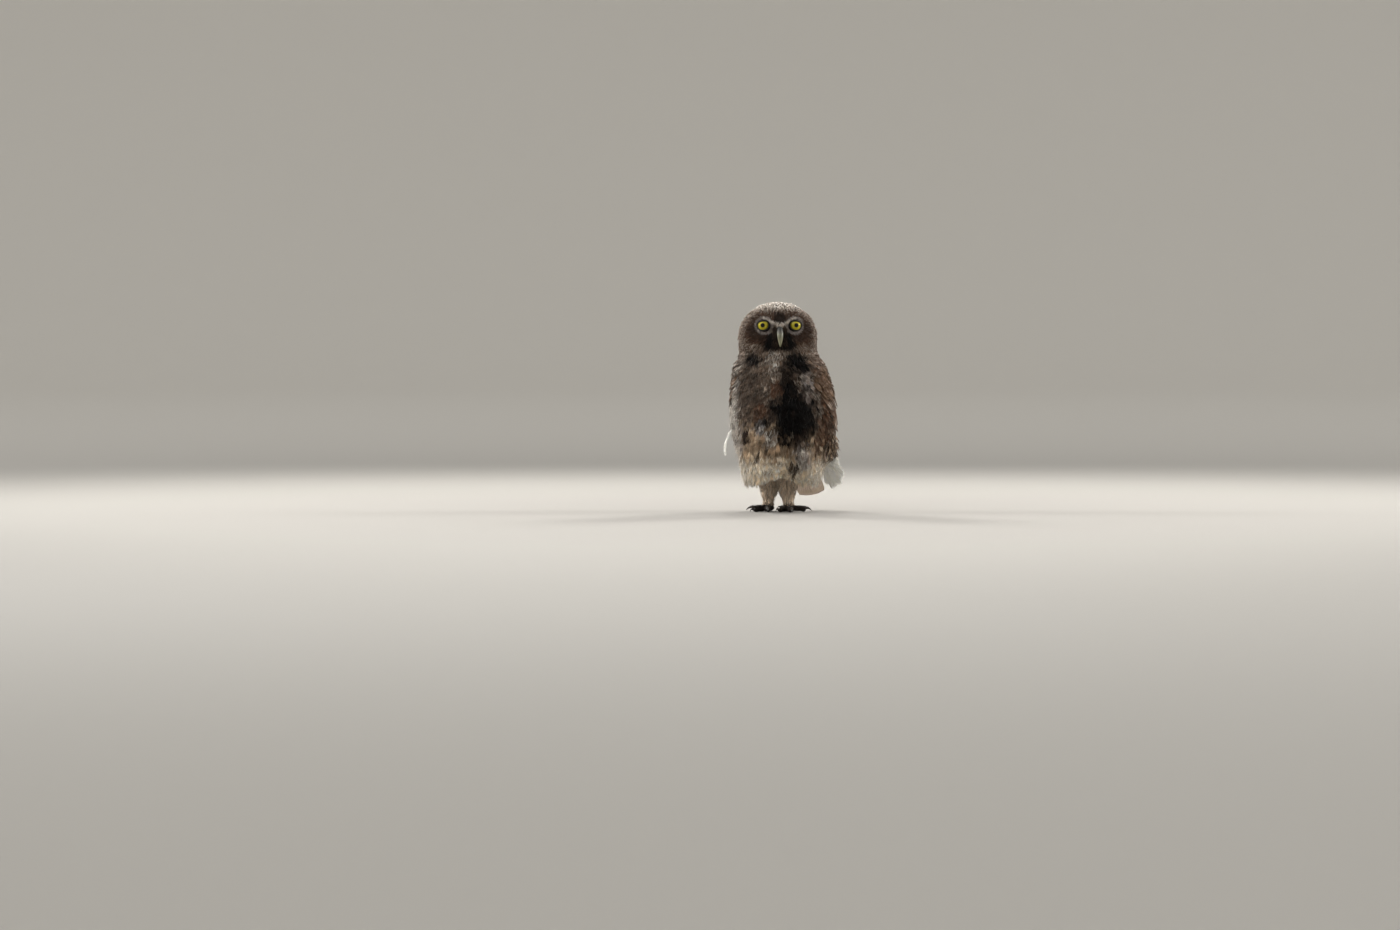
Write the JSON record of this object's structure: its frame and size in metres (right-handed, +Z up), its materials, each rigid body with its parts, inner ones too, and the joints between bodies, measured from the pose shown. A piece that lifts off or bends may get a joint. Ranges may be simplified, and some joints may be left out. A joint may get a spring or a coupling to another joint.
{
  "type": "little owl",
  "caption": "Life-size standing little owl, head turned, with layered wing and tail feathers, ragged belly plumes, hooked bill, taloned feet.",
  "frame": {"origin": "middle of the whole owl's box, at the level of its soles", "axes": "+Z up, the breast faces -Y, the owl's own left wing is on the +X side"},
  "size_m": [0.1188, 0.1052, 0.215],
  "materials": {
    "crown": "brown head feathers with small whitish spots",
    "throat": "grey-white throat feathers",
    "breast": "ragged breast feathers, dark and whitish, cream below",
    "wing": "brown wing feathers with pale spots",
    "tail": "barred tail feathers",
    "leg": "short buff leg feathers",
    "toe": "dark bristled toes",
    "claw": "black horn",
    "bill": "pale olive-grey horn",
    "eye": "clear yellow iris, black pupil"
  },
  "bodies": {
    "root": {"head": "crown", "neck": "throat", "torso": "breast", "bill_upper": "bill", "bill_lower": "bill", "eye_left": "eye", "eye_right": "eye", "wing_left": "wing", "wing_right": "wing", "tail": "tail", "leg_left": "leg", "leg_right": "leg", "foot_left": "toe", "foot_right": "toe", "claw_left_1": "claw", "claw_left_2": "claw", "claw_left_3": "claw", "claw_left_4": "claw", "claw_right_1": "claw", "claw_right_2": "claw", "claw_right_3": "claw", "claw_right_4": "claw"}
  },
  "joints": []
}
